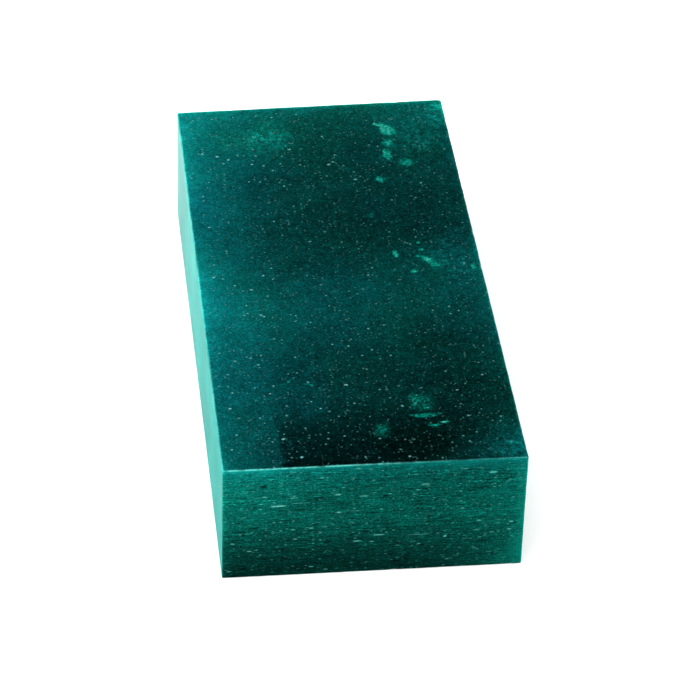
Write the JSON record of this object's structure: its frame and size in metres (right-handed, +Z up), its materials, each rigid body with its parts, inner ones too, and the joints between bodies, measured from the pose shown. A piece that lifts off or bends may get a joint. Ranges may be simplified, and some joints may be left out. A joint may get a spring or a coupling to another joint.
{
  "type": "carving wax block",
  "caption": "Solid slab of hard green carving wax with smooth cast faces, saw-marked ends and lightly rounded edges.",
  "frame": {"origin": "centre of the bounding box's base, on the surface that the block lies on", "axes": "+Z up through the block's thickness, +Y along its length away from the square sawn end, +X across it towards its longer side"},
  "size_m": [0.081, 0.178, 0.0365],
  "materials": {
    "green_wax": "Hard, slightly translucent dark teal-green wax. Cast faces are semi-gloss with milky scuffs, small pits and bright specks; sawn ends are duller and finely striped across."
  },
  "bodies": {
    "root": {"wax_block": "green_wax"}
  },
  "joints": []
}
